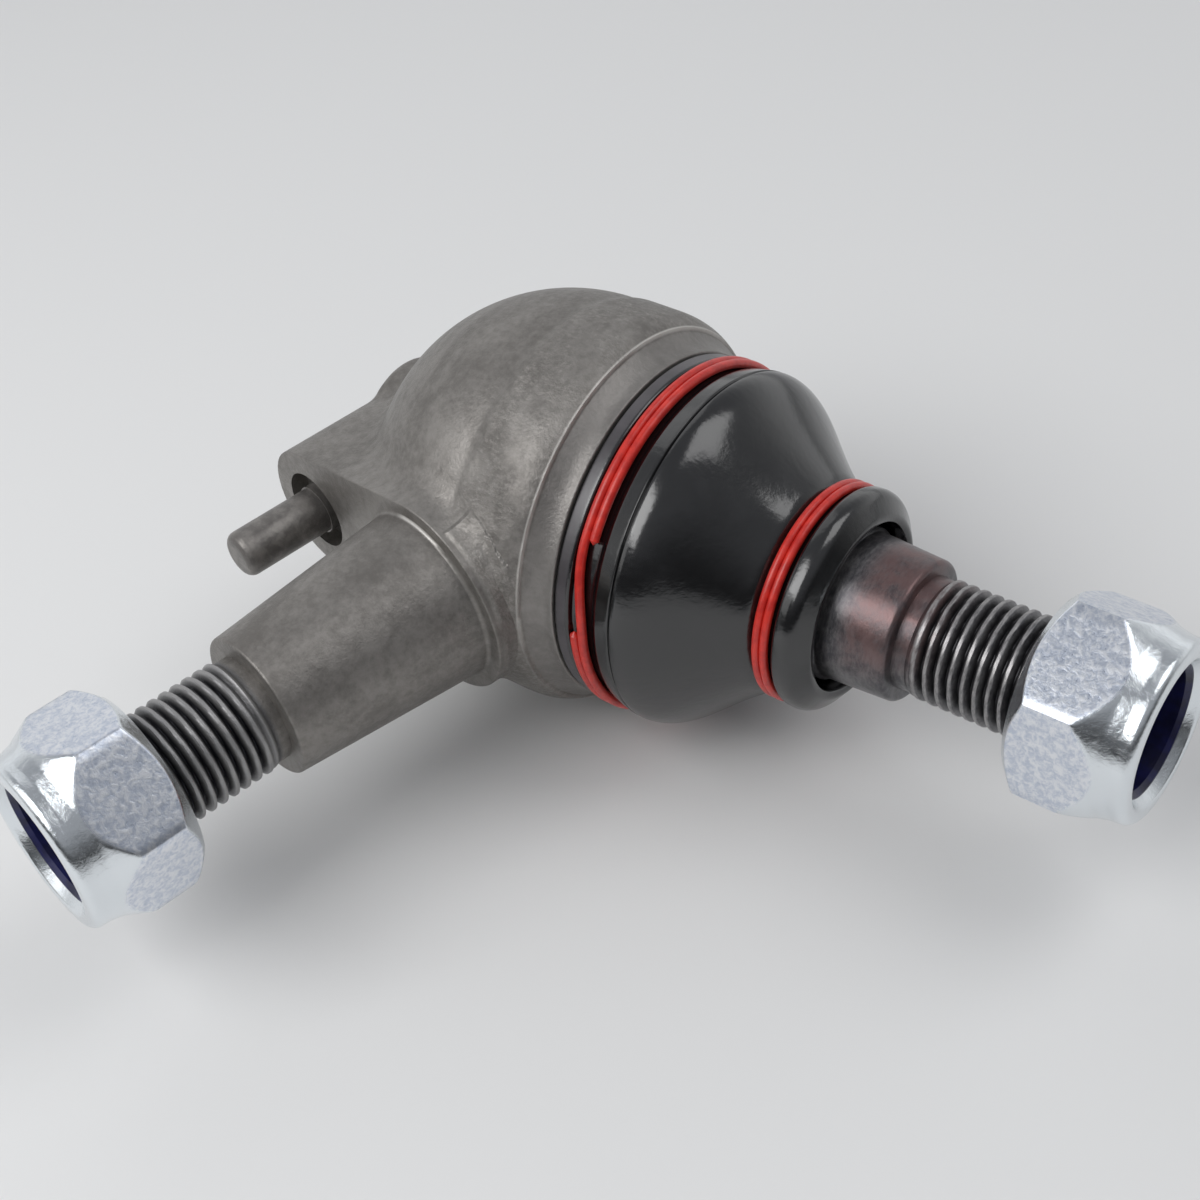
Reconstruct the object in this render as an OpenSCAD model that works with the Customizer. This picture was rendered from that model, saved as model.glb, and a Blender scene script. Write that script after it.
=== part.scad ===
// Suspension ball joint: a forged housing with a tapered shank, a ball stud in a
// moulded seat, a rubber dust boot held by two wire rings, a locating pin and two
// locking nuts. Millimetres. The origin is the centre of the ball. +X runs along the
// stud, the shank lies in the XY plane, and +Z is square to both.

/* [Ball and seat] */
// Diameter of the ball
ball_d = 30; // [28:0.5:31]
// Wall of the moulded seat around the ball
seat_wall = 2.5; // [2:0.1:3.2]
// Gap between the ball and its seat, on the radius
ball_fit = 0.04; // [0.02:0.01:0.1]
// Distance from the ball's centre to the seat's front face
seat_front = 9; // [8:0.5:10]
// Thickness of the retaining ring in front of the seat
retainer_t = 3.6; // [3:0.2:4.4]
// Furthest swing of the stud to any side, in degrees
swing = 22; // [16:1:24]

/* [Housing] */
// Diameter of the housing body
body_d = 49; // [47:0.2:54]
// How far the dome's centre lies behind the ball's centre
dome_back = 2; // [0:0.5:4]
// Distance from the ball's centre to the end of the forged belt
belt_front = 8.8; // [8:0.2:10]
// Length of the forged belt
belt_l = 10; // [7:0.5:12]
// Height of the forged belt above the body
belt_h = 0.3; // [0.1:0.1:0.8]
// Diameter of the turned rim behind the boot
rim_d = 43.6; // [42.6:0.2:45]
// Distance from the ball's centre to the front face of that rim
rim_front = 12.2; // [11.8:0.2:13.4]
// Diameter of the pad on top of the dome
pad_d = 17.6; // [12:0.2:20]
// Height of that pad above the dome
pad_h = 3; // [1:0.2:4]

/* [Boot seat] */
// Diameter of the groove that holds the boot
groove_d = 38.8; // [38:0.2:39.6]
// Width of the groove
groove_w = 4.4; // [3.8:0.2:5]
// Height of the bead in front of the groove
bead_h = 0.8; // [0.4:0.1:1.2]
// Width of that bead
bead_w = 1.4; // [1:0.1:2]

/* [Shank] */
// Angle between the stud and the shank, in degrees
shank_angle = 101; // [90:1:110]
// Distance from the ball's centre to the milled face at the shank's root
face_l = 24.6; // [23.6:0.2:27]
// Diameter of the forged root behind that face
root_d = 25.8; // [25.2:0.2:30]
// Large diameter of the taper, at the milled face
taper_d = 21.6; // [19:0.2:22]
// Length of the taper
taper_l = 24.9; // [20:0.5:30]
// Length on which the taper's diameter falls by one millimetre
taper_ratio = 6.6; // [5:0.1:10]
// Diameter of the thread on both ends
thread_d = 14; // [12:1:16]
// Length of the shank's thread, with its relief
shank_thread_l = 23; // [20:0.5:28]
// Length of the plain relief between a taper and its thread
relief_l = 1.6; // [1:0.1:2.4]
// Depth of that relief below the thread
relief_h = 0.4; // [0.2:0.1:1.2]

/* [Locating pin] */
// Diameter of the pin
pin_d = 6; // [5:0.5:7]
// Distance between the pin's axis and the shank's axis
pin_offset = 23; // [21.4:0.2:26]
// Free length of the pin beyond the milled face
pin_free = 12; // [8:0.5:15]
// Length of the pin inside its lug
pin_grip = 14; // [10:0.5:16]
// Diameter of the pin's pressed end
pin_press_d = 6.4; // [6.2:0.1:7.4]
// Diameter of the lug around the pin
lug_d = 16.4; // [13:0.2:18]
// Diameter of the recess around the pin
recess_d = 10.4; // [8:0.2:11.4]
// Depth of that recess
recess_h = 2.4; // [1:0.2:4]

/* [Ball stud] */
// Diameter of the stud's neck
neck_d = 15; // [13:0.5:16]
// Distance from the ball's centre to the start of the neck's flare
neck_l = 26; // [25:0.5:27]
// Diameter of the collar that carries the boot
collar_d = 18.6; // [18:0.2:20]
// Distance from the ball's centre to the large end of the stud's taper
stud_taper_at = 39; // [38:0.5:42]
// Large diameter of the stud's taper
stud_taper_d = 17.7; // [16:0.1:19]
// Length of the stud's taper
stud_taper_l = 8.5; // [7:0.5:20]
// Length on which that taper's diameter falls by one millimetre
stud_taper_ratio = 10; // [6:0.5:12]
// Length of the stud's thread, with its relief
stud_thread_l = 24; // [20:0.5:30]

/* [Dust boot] */
// Wall of the boot
boot_wall = 1.9; // [1.4:0.1:2.4]
// Largest diameter of the boot
boot_d = 44; // [43:0.2:47]
// Distance from the ball's centre to the boot's widest place
boot_widest = 19.8; // [19.2:0.2:21]
// Distance from the ball's centre to the neck of the boot
boot_neck_at = 33; // [32:0.5:34]
// Diameter of the boot's end lip
lip_d = 27; // [25:0.5:29]
// Length of the end lip in front of the small ring
lip_l = 5.7; // [5.2:0.1:7]
// Height of the boot's seating lip above the channel of the large ring
seat_lip_h = 0.7; // [0.4:0.1:1.1]
// Rubber under the large ring
boot_grip = 1.5; // [1.2:0.1:2]
// Rubber under the small ring
neck_grip = 3; // [2.6:0.1:3.2]
// Gap between the rubber and what it seats on
boot_fit = 0.05; // [0.02:0.01:0.1]

/* [Wire rings] */
// Thickness of the large ring's wire
large_wire = 1.1; // [0.8:0.1:1.4]
// Thickness of the small ring's wire
small_wire = 1; // [0.8:0.1:1.2]
// Distance from the housing's rim to the middle of the large ring
large_ring_step = 3.6; // [3.4:0.1:3.8]
// Distance from the start of the boot's neck to the middle of the small ring
small_ring_step = 1.5; // [1.4:0.1:1.7]

/* [Nuts] */
// Width of a nut across its flats
nut_af = 22; // [19:1:24]
// Height of a nut
nut_h = 14; // [12:0.5:16]
// Height of the hexagon below the collar
nut_hex_h = 10.4; // [9:0.2:11]
// Diameter of the opening in the nut's collar
nut_mouth_d = 15.4; // [15:0.2:17]
// Distance from the end of the stud's taper to its nut
stud_nut_gap = 15.4; // [13:0.2:18]
// Distance from the end of the shank's taper to its nut
shank_nut_gap = 14.2; // [13:0.2:18]
// Gap between the nut and the thread, on the radius
nut_fit = 0.05; // [0.02:0.01:0.1]
// Height of the nylon ring in a nut
insert_h = 2.8; // [2:0.2:3]

/* [Hidden] */
$fn = 96;
// Small gap between parts that are pressed together
press_gap = 0.02;
ball_r = ball_d / 2;
cavity_r = ball_r + seat_wall;
body_r = body_d / 2;
groove_r = groove_d / 2;
bead_r = groove_r + bead_h;
mouth_end = rim_front + groove_w + bead_w;
retainer_end = seat_front + retainer_t;
neck_r = neck_d / 2;
thread_r = thread_d / 2;
relief_r = thread_r - relief_h;
taper_end = face_l + taper_l;
taper_r0 = taper_d / 2;
taper_r1 = taper_r0 - taper_l / taper_ratio / 2;
shank_end = taper_end + shank_thread_l;
stud_taper_end = stud_taper_at + stud_taper_l;
stud_taper_r1 = stud_taper_d / 2 - stud_taper_l / stud_taper_ratio / 2;
stud_end = stud_taper_end + stud_thread_l;
pin_r = pin_d / 2;
collar_r = collar_d / 2;
collar_front = boot_neck_at - 1;
boot_r = boot_d / 2;
chamfer = 0.6;
thread_chamfer = 1.2;
// How far each nut is turned at rest, in degrees
stud_nut_turn = -5;
shank_nut_turn = -16;

// Radius that the swung neck reaches at a distance x in front of the ball's centre
function neck_reach(x) = (x + neck_r * sin(swing)) / cos(swing) * sin(swing) + neck_r * cos(swing);
// Clear radius of the mouth at a distance x, with room around the swung neck
mouth_room = 0.5;
function mouth_r(x) = neck_reach(x) + mouth_room;

// Points of an arc about (cx, cy) from angle a0 to a1
function arc(cx, cy, r, a0, a1, n = 8) =
    [for (i = [0:n]) let (a = a0 + (a1 - a0) * i / n) [cx + r * cos(a), cy + r * sin(a)]];
// Points of a cubic curve from p to q with the handles a and b
function curve(p, a, b, q, n = 10) =
    [for (i = [0:n]) let (t = i / n, u = 1 - t)
        u * u * u * p + 3 * u * u * t * a + 3 * u * t * t * b + t * t * t * q];
// The points without those that repeat the one before
function distinct(points) =
    [for (i = [0:len(points) - 1]) if (i == 0 || norm(points[i] - points[max(i - 1, 0)]) > 0.001) points[i]];
// A profile drawn as (distance along the axis, radius), turned for rotate_extrude
function turned(points) = [for (p = points) [p[1], p[0]]];

module on_stud() {
    rotate([0, 90, 0]) children();
}
module on_shank() {
    rotate([0, 0, -shank_angle]) rotate([0, 90, 0]) children();
}
// Along the pin, which runs beside the shank on the side away from the boot
module on_pin() {
    rotate([0, 0, -shank_angle]) translate([0, -pin_offset, 0]) rotate([0, 90, 0]) children();
}
module revolve(points) {
    rotate_extrude() polygon(turned(distinct(points)));
}

// Outer form of the housing about the stud's axis, without its cavity
module housing_body() {
    belt_r = body_r + belt_h;
    belt_back = belt_front - belt_l;
    shoulder_r = body_r - 0.8;
    rim_r = rim_d / 2;
    pad_r = pad_d / 2;
    pad_top = -dome_back - body_r - pad_h;
    pad_round = 1;
    pad_flare = 3;
    pad_foot = pad_top + pad_h + 0.3;
    on_stud() {
        rotate_extrude() union() {
            intersection() {
                translate([0, -dome_back]) circle(r = body_r);
                translate([0, -dome_back - body_r - 1]) square([body_r + 1, body_r + 1]);
            }
            polygon(turned(concat(
                [[-dome_back, 0], [-dome_back, body_r], [belt_back, body_r], [belt_back + belt_h, belt_r]],
                curve([belt_front - 4.6, belt_r], [belt_front - 3, belt_r], [belt_front - 1.4, belt_r - 0.2],
                      [belt_front, shoulder_r], 5),
                curve([belt_front + 0.3, shoulder_r - 0.4], [belt_front + 1.2, shoulder_r - 1.2],
                      [belt_front + 2, rim_r], [rim_front - 0.4, rim_r], 5),
                [[rim_front, rim_r - 0.3], [rim_front, groove_r], [rim_front + groove_w, groove_r],
                 [rim_front + groove_w + 0.3, bead_r], [mouth_end - 0.4, bead_r], [mouth_end, bead_r - 0.4],
                 [mouth_end, 0]])));
        }
        revolve(concat([[pad_top, 0]], arc(pad_top + pad_round, pad_r - pad_round, pad_round, 180, 90, 5),
                       arc(pad_foot, pad_r + pad_flare, pad_flare, 270, 330, 5), [[0, pad_r], [0, 0]]));
    }
}

// Shank: forged root, taper, relief and thread about the shank's axis
module shank() {
    root_r = root_d / 2;
    root_round = 0.3;
    root_flare = 5;
    fillet = 1.9;
    on_shank() revolve(concat(
        [[0, 0], [0, root_r + root_flare], [face_l - root_flare - root_round - 3, root_r + root_flare]],
        arc(face_l - root_round, root_r + root_flare, root_flare, 240, 270, 5),
        arc(face_l - root_round, root_r - root_round, root_round, 90, 0, 5),
        [[face_l, taper_r0 + fillet]],
        arc(face_l + fillet, taper_r0 + fillet - fillet / taper_ratio / 2, fillet, 180, 270, 5),
        [[taper_end - chamfer, taper_r1], [taper_end, taper_r1 - chamfer], [taper_end, relief_r],
         [taper_end + relief_l, relief_r], [taper_end + relief_l + relief_h, thread_r],
         [shank_end - thread_chamfer, thread_r], [shank_end, thread_r - thread_chamfer], [shank_end, 0]]));
}

// Lug that holds the pin, with the web that joins it to the shank's root
module pin_lug() {
    lug_r = lug_d / 2;
    root_r = root_d / 2;
    lug_back = 4;
    web_inset = 0.5;
    lean = asin((root_r - lug_r) / pin_offset);
    web_root = root_r - web_inset;
    web_lug = lug_r - web_inset;
    on_pin() revolve(concat(arc(lug_back, 0, lug_r, 180, 90, 8),
        [[face_l - chamfer, lug_r], [face_l, lug_r - chamfer], [face_l, 0]]));
    rotate([0, 0, -shank_angle]) rotate([0, 90, 0]) linear_extrude(face_l - chamfer)
        polygon([web_root * [cos(lean), -sin(lean)], web_lug * [cos(lean), -sin(lean)] + [0, -pin_offset],
                 web_lug * [-cos(lean), -sin(lean)] + [0, -pin_offset], web_root * [-cos(lean), -sin(lean)]]);
}

// Cavity: a round bottom behind the seat, a bore for seat and ring, and the flared mouth
module housing_cavity() {
    lip_r = mouth_r(mouth_end);
    on_stud() {
        sphere(r = cavity_r);
        cylinder(r = cavity_r, h = retainer_end + press_gap);
        translate([0, 0, retainer_end]) cylinder(r = lip_r, h = body_r);
    }
}

module pin_hole() {
    on_pin() {
        translate([0, 0, face_l - pin_grip - press_gap])
            cylinder(r = pin_press_d / 2 + press_gap, h = pin_grip + 1);
        translate([0, 0, face_l - recess_h]) cylinder(d = recess_d, h = recess_h + 1);
    }
}

module housing() {
    color([0.42, 0.40, 0.37]) difference() {
        union() {
            housing_body();
            difference() {
                union() {
                    shank();
                    pin_lug();
                }
                on_stud() translate([0, 0, belt_front]) cylinder(r = shank_end, h = shank_end);
            }
        }
        housing_cavity();
        pin_hole();
    }
}

module locating_pin() {
    tip = 1.2;
    color([0.36, 0.34, 0.32]) on_pin() {
        translate([0, 0, face_l - pin_grip]) cylinder(d = pin_press_d, h = pin_grip);
        translate([0, 0, face_l]) revolve(concat([[0, 0], [0, pin_r]],
            arc(pin_free - tip, pin_r - tip, tip, 90, 0, 6), [[pin_free, 0]]));
    }
}

module ball_seat() {
    outer_r = cavity_r - press_gap;
    inner_r = ball_r + ball_fit;
    color([0.86, 0.84, 0.76]) on_stud() difference() {
        union() {
            sphere(r = outer_r);
            cylinder(r = outer_r, h = seat_front);
        }
        sphere(r = inner_r);
        translate([0, 0, seat_front]) cylinder(r = cavity_r + 1, h = cavity_r);
    }
}

module retaining_ring() {
    back_r = sqrt(ball_r * ball_r - seat_front * seat_front) + 0.5;
    front_r = max(back_r, mouth_r(retainer_end));
    outer_r = cavity_r - press_gap;
    color([0.55, 0.55, 0.56]) on_stud()
        revolve([[seat_front + press_gap, back_r], [seat_front + press_gap, outer_r], [retainer_end, outer_r],
                 [retainer_end, front_r]]);
}

// Boot: a lip in the housing's groove, a round belly, a neck on the stud's collar and an end lip
large_channel_r = groove_r + boot_fit + boot_grip;
large_ring_at = rim_front + large_ring_step;
small_channel_r = collar_r + boot_fit + neck_grip;
small_ring_at = boot_neck_at + small_ring_step;
lip_end = small_ring_at + lip_l;
module dust_boot() {
    start = rim_front + boot_fit;
    lip_r = large_channel_r + seat_lip_h;
    seat_r = groove_r + boot_fit;
    over_bead_r = bead_r + boot_fit + 0.15;
    over_bead_end = mouth_end + 0.5;
    inner_r = boot_r - boot_wall;
    end_r = lip_d / 2;
    neck_r0 = collar_r + boot_fit;
    neck_end = stud_taper_at - 0.6;
    color([0.05, 0.05, 0.055]) on_stud() revolve(concat(
        [[start, seat_r], [start, lip_r - 0.5], [start + 0.5, lip_r],
         [large_ring_at - large_wire - 0.5, lip_r],
         [large_ring_at - large_wire - 0.1, large_channel_r],
         [large_ring_at + large_wire + 0.1, large_channel_r]],
        arc(boot_widest - 1.1, boot_r - 1.6, 1.6, 140, 60, 6),
        curve([boot_widest + 0.4, boot_r - 0.25], [boot_widest + 4.2, boot_r - 0.2],
              [boot_neck_at - 6, boot_r - 5.2], [boot_neck_at - 0.4, end_r - 0.3], 14),
        [[small_ring_at - small_wire - 0.2, small_channel_r],
         [small_ring_at + small_wire + 0.1, small_channel_r],
         [small_ring_at + small_wire + 0.7, end_r - 0.4]],
        arc(lip_end - 3.2, end_r - 0.8, 0.8, 150, 50, 5),
        [[lip_end - 0.5, end_r - 2.2], [lip_end, end_r - 2.7], [lip_end, end_r - 3.4],
         [neck_end, neck_r0 + 0.5], [neck_end - 0.5, neck_r0], [collar_front + 1, neck_r0]],
        curve([collar_front + 0.4, small_channel_r - boot_wall], [boot_neck_at - 6.6, boot_r - 6.4],
              [boot_widest + 4, inner_r], [boot_widest + 0.4, inner_r], 12),
        [[over_bead_end, over_bead_r], [rim_front + groove_w - boot_fit, over_bead_r],
         [rim_front + groove_w - boot_fit, seat_r]]));
}

// Two turns of round wire side by side
module wire_ring(wire, channel_r, at) {
    r = channel_r + boot_fit + wire / 2;
    on_stud() for (side = [-1, 1])
        translate([0, 0, at + side * (wire / 2 - press_gap)])
            rotate_extrude() translate([r, 0]) circle(d = wire, $fn = 32);
}
module large_boot_ring() {
    color([0.80, 0.10, 0.07]) wire_ring(large_wire, large_channel_r, large_ring_at);
}
module small_boot_ring() {
    color([0.80, 0.10, 0.07]) wire_ring(small_wire, small_channel_r, small_ring_at);
}

module ball_stud() {
    flare = 3;
    flat_r = 5;
    flat_depth = ball_r - sqrt(ball_r * ball_r - flat_r * flat_r);
    color([0.34, 0.33, 0.33]) on_stud() difference() {
        union() {
            sphere(r = ball_r);
            revolve([[0, 0], [0, neck_r], [neck_l, neck_r], [neck_l + flare, collar_r],
                     [stud_taper_at - 0.5, collar_r], [stud_taper_at, stud_taper_d / 2],
                     [stud_taper_end - chamfer, stud_taper_r1], [stud_taper_end, stud_taper_r1 - chamfer],
                     [stud_taper_end, relief_r], [stud_taper_end + relief_l, relief_r],
                     [stud_taper_end + relief_l + relief_h, thread_r], [stud_end - thread_chamfer, thread_r],
                     [stud_end, thread_r - thread_chamfer], [stud_end, 0]]);
        }
        translate([0, 0, -ball_r - 1]) cylinder(r = flat_r + 1, h = 1 + flat_depth);
    }
}

// Locking nut with its back face at z = 0: a chamfered hexagon and a rolled collar
nut_corner_r = nut_af / 2 / cos(30);
collar_out_r = nut_af / 2 - 0.3;
insert_r = nut_mouth_d / 2 + 1.4;
insert_at = nut_h - 1.1 - insert_h;
module nut() {
    bore_r = thread_r + nut_fit;
    rim_round = 1.6;
    difference() {
        intersection() {
            cylinder(r = nut_corner_r, h = nut_h, $fn = 6);
            revolve(concat([[0, 0], [0, nut_af / 2 - 0.7], [2.1, nut_corner_r + 0.02],
                            [nut_hex_h - 3.4, nut_corner_r + 0.02], [nut_hex_h, nut_af / 2 - 0.05]],
                           arc(nut_h - rim_round, collar_out_r - rim_round, rim_round, 80, 0, 7),
                           [[nut_h, 0]]));
        }
        translate([0, 0, -1]) cylinder(r = bore_r, h = nut_h + 2);
        translate([0, 0, -0.01]) cylinder(r1 = bore_r + 0.9, r2 = bore_r, h = 0.9);
        translate([0, 0, insert_at]) cylinder(r = insert_r, h = insert_h);
        translate([0, 0, insert_at + insert_h - 0.01]) cylinder(r = nut_mouth_d / 2, h = 4);
    }
}
module nut_insert() {
    inner_r = thread_r + nut_fit;
    translate([0, 0, insert_at + press_gap]) difference() {
        cylinder(r = insert_r - press_gap, h = insert_h - 2 * press_gap);
        translate([0, 0, -1]) cylinder(r = inner_r, h = insert_h + 2);
        translate([0, 0, insert_h - 0.6]) cylinder(r1 = inner_r, r2 = inner_r + 0.5, h = 0.6);
    }
}
module stud_nut() {
    color([0.78, 0.82, 0.84]) on_stud()
        translate([0, 0, stud_taper_end + stud_nut_gap]) rotate(stud_nut_turn) nut();
}
module stud_nut_insert() {
    color([0.05, 0.06, 0.22]) on_stud() translate([0, 0, stud_taper_end + stud_nut_gap]) nut_insert();
}
module shank_nut() {
    color([0.78, 0.82, 0.84]) on_shank()
        translate([0, 0, taper_end + shank_nut_gap]) rotate(shank_nut_turn) nut();
}
module shank_nut_insert() {
    color([0.05, 0.06, 0.22]) on_shank() translate([0, 0, taper_end + shank_nut_gap]) nut_insert();
}

housing();
locating_pin();
ball_seat();
retaining_ring();
large_boot_ring();
dust_boot();
small_boot_ring();
ball_stud();
stud_nut_insert();
stud_nut();
shank_nut_insert();
shank_nut();
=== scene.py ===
import math

import bmesh
import bpy
import numpy as np
from mathutils import Matrix, Vector


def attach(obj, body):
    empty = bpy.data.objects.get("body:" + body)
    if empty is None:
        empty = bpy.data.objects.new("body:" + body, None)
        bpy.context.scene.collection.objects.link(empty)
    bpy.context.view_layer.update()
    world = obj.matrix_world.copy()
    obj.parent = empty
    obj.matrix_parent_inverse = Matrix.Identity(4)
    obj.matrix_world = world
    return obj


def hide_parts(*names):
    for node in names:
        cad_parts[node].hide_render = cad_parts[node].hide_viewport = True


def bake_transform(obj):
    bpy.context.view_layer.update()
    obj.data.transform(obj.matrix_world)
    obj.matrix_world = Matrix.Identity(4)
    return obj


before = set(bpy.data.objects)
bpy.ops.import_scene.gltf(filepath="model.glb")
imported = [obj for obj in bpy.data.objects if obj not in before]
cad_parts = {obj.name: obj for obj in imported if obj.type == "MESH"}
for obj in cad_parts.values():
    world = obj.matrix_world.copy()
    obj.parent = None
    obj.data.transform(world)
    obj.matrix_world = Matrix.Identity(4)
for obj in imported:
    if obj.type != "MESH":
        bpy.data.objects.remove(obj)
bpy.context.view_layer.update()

mm = 0.001

# Sizes that several pieces share, in millimetres and degrees, from the ball's centre
joint = {
    "shankAngle": 101,
    "threadRadius": 7.0,
    "reliefRadius": 6.6,
    "pitch": 1.5,
    "threadDepth": 0.86,
    "crestShare": 0.26,  # part of the pitch that is flat crest
    "rootShare": 0.1,  # part of the pitch that is flat root
    "runIn": 1.2,  # turns over which the groove starts
    "endChamfer": 1.2,
    "rowsPerTurn": 12,
    "threadColumns": 96,
    "beltFront": 8.8,  # front edge of the housing's belt, on the stud's axis
    "faceAt": 24.6,  # milled face, on the shank's axis
}


# An axis that leans from +X towards -Y: along = (cos, -sin, 0), across = (sin, cos, 0), up = (0, 0, 1)
def axisFrame(angle):
    a = math.radians(angle)
    return np.array([[math.cos(a), -math.sin(a), 0], [math.sin(a), math.cos(a), 0], [0, 0, 1]])


studAxis = axisFrame(0)
shankAxis = axisFrame(joint["shankAngle"])


# Extra points on every run longer than step: point = a + (b - a) * i / n
def spaced(points, step):
    lengths = np.hypot(*np.diff(points, axis=0).T)
    counts = np.maximum(1, np.ceil(lengths / step)).astype(int)
    runs = [a + (b - a) * np.arange(n)[:, None] / n for a, b, n in zip(points[:-1], points[1:], counts)]
    return np.vstack(runs + [points[-1:]])


# Corners (along, radius, rounding) made an outline; each arc has
# centre = corner + bisector * rounding / sin(half angle), and starts rounding / tan(half angle) away
def roundedOutline(corners, step=0.5, arcStep=0.16):
    points = [np.array(corners[0][:2], float)]
    for before, here, after in zip(corners, corners[1:], corners[2:]):
        corner = np.array(here[:2], float)
        back, ahead = np.array(before[:2]) - corner, np.array(after[:2]) - corner
        backLength, aheadLength = np.hypot(*back), np.hypot(*ahead)
        back, ahead = back / backLength, ahead / aheadLength
        half = 0.5 * math.acos(max(-1, min(1, back @ ahead)))
        rounding = here[2] if len(here) > 2 else 0
        reach = min(rounding / math.tan(half), 0.49 * min(backLength, aheadLength))
        rounding = reach * math.tan(half)
        if rounding < 0.01 or half > 1.55:
            points.append(corner)
            continue
        bisector = (back + ahead) / np.hypot(*(back + ahead))
        centre = corner + bisector * rounding / math.sin(half)
        first, last = corner + back * reach - centre, corner + ahead * reach - centre
        a0 = math.atan2(first[1], first[0])
        turn = (math.atan2(last[1], last[0]) - a0 + math.pi) % (2 * math.pi) - math.pi
        angles = a0 + turn * np.linspace(0, 1, max(4, int(abs(turn) * rounding / arcStep) + 2))
        points.extend(centre + rounding * np.stack([np.cos(angles), np.sin(angles)], 1))
    points.append(np.array(corners[-1][:2], float))
    return spaced(np.array(points), step)


# Surface of revolution: point = along * axis + radius * (cos(turn) * across + sin(turn) * up)
def revolved(outline, axes, columns):
    turn = np.linspace(0, 2 * np.pi, columns, endpoint=False)
    spokes = np.cos(turn)[:, None] * axes[1] + np.sin(turn)[:, None] * axes[2]
    return outline[:, 0, None, None] * axes[0] + outline[:, 1, None, None] * spokes


# A grid of rows whose columns close on themselves becomes one closed shell: either its rows close
# too, or each end gets a fan to its middle. The sign of the volume, sum(a . (b x c)), turns it outwards
def shell(rows, looped=False):
    count, columns = rows.shape[:2]
    index = np.arange(count * columns).reshape(count, columns)
    beside = np.roll(index, -1, axis=1)
    if looped:
        above, aboveBeside = np.roll(index, -1, axis=0), np.roll(beside, -1, axis=0)
        quads = np.stack([index, beside, aboveBeside, above], -1).reshape(-1, 4)
        fans, points = np.zeros((0, 3), int), rows.reshape(-1, 3)
    else:
        quads = np.stack([index[:-1], beside[:-1], beside[1:], index[1:]], -1).reshape(-1, 4)
        points = np.vstack([rows.reshape(-1, 3), rows[0].mean(0), rows[-1].mean(0)])
        first, last = np.full(columns, count * columns), np.full(columns, count * columns + 1)
        fans = np.vstack([np.stack([first, beside[0], index[0]], 1), np.stack([last, index[-1], beside[-1]], 1)])
    a, b, c, d = (points[quads[:, i]] for i in range(4))
    volume = np.einsum("ij,ij->", a, np.cross(b, c)) + np.einsum("ij,ij->", a, np.cross(c, d))
    if volume < 0:
        quads, fans = quads[:, ::-1], fans[:, ::-1]
    return points, quads, fans


# Shells joined into one mesh, in metres; edges sharper than 40 degrees stay crisp
def makeMesh(name, shells, marks=None):
    starts = np.cumsum([0] + [len(s[0]) for s in shells])[:-1]
    points = np.vstack([s[0] for s in shells]) * mm
    quads = np.vstack([s[1] + k for s, k in zip(shells, starts)])
    fans = np.vstack([s[2] + k for s, k in zip(shells, starts)])
    corners = np.concatenate([quads.ravel(), fans.ravel()])
    begins = np.concatenate([np.arange(len(quads)) * 4, len(quads) * 4 + np.arange(len(fans)) * 3])
    mesh = bpy.data.meshes.new(name)
    mesh.vertices.add(len(points))
    mesh.vertices.foreach_set("co", points.astype(np.float32).ravel())
    mesh.loops.add(len(corners))
    mesh.loops.foreach_set("vertex_index", corners.astype(np.int32))
    mesh.polygons.add(len(begins))
    mesh.polygons.foreach_set("loop_start", begins.astype(np.int32))
    mesh.polygons.foreach_set("use_smooth", np.ones(len(begins), bool))
    mesh.update(calc_edges=True)
    mesh.validate()
    mesh.set_sharp_from_angle(angle=math.radians(40))
    if marks is not None:
        mesh.attributes.new("turned", "FLOAT", "POINT").data.foreach_set("value", marks.astype(np.float32))
    return mesh


def addObject(name, mesh):
    thing = bpy.data.objects.new(name, mesh)
    bpy.context.scene.collection.objects.link(thing)
    return thing


# A finished mesh that stands for its CAD nodes and rides on their body, if it doesn't bend
def makePiece(name, mesh, body, slot, nodes):
    piece = addObject(name, mesh)
    mesh.materials.append(finishes[slot])
    if body:
        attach(piece, body)
    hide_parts(*nodes)
    print("made", name, len(mesh.polygons), "faces")
    return piece


# Smooth step between low and high: 3 t^2 - 2 t^3
def smooth(value, low, high):
    t = np.clip((value - low) / (high - low), 0, 1)
    return t * t * (3 - 2 * t)


# Screw thread: radius = crest - depth * groove(phase), phase = frac(along / pitch - turn / 360 degrees);
# groove is 1 in the middle of the phase and 0 on the crest, and its depth fades in from the start
def threadRows(start, end, axes):
    count = int((end - start) / joint["pitch"] * joint["rowsPerTurn"]) + 1
    along = np.linspace(start, end, count)[:, None]
    turn = np.linspace(0, 1, joint["threadColumns"], endpoint=False)[None]
    phase = (along / joint["pitch"] - turn) % 1
    slope = 1 - joint["rootShare"] - joint["crestShare"]
    groove = np.clip((1 - np.abs(2 * phase - 1) - joint["crestShare"]) / slope, 0, 1)
    depth = joint["threadDepth"] * smooth(along, start, start + joint["runIn"] * joint["pitch"])
    crest = np.minimum(joint["threadRadius"], joint["reliefRadius"] + (along - start) * 0.8)
    crest = np.minimum(crest, joint["threadRadius"] - joint["endChamfer"] + (end - along) + 0.02)
    radius = np.minimum(crest, np.maximum(crest - depth * groove, joint["threadRadius"] - joint["threadDepth"]))
    spokes = np.cos(2 * np.pi * turn)[..., None] * axes[1] + np.sin(2 * np.pi * turn)[..., None] * axes[2]
    return along[..., None] * axes[0] + radius[..., None] * spokes


# Materials, from small helpers that each add a node and return its socket


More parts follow.
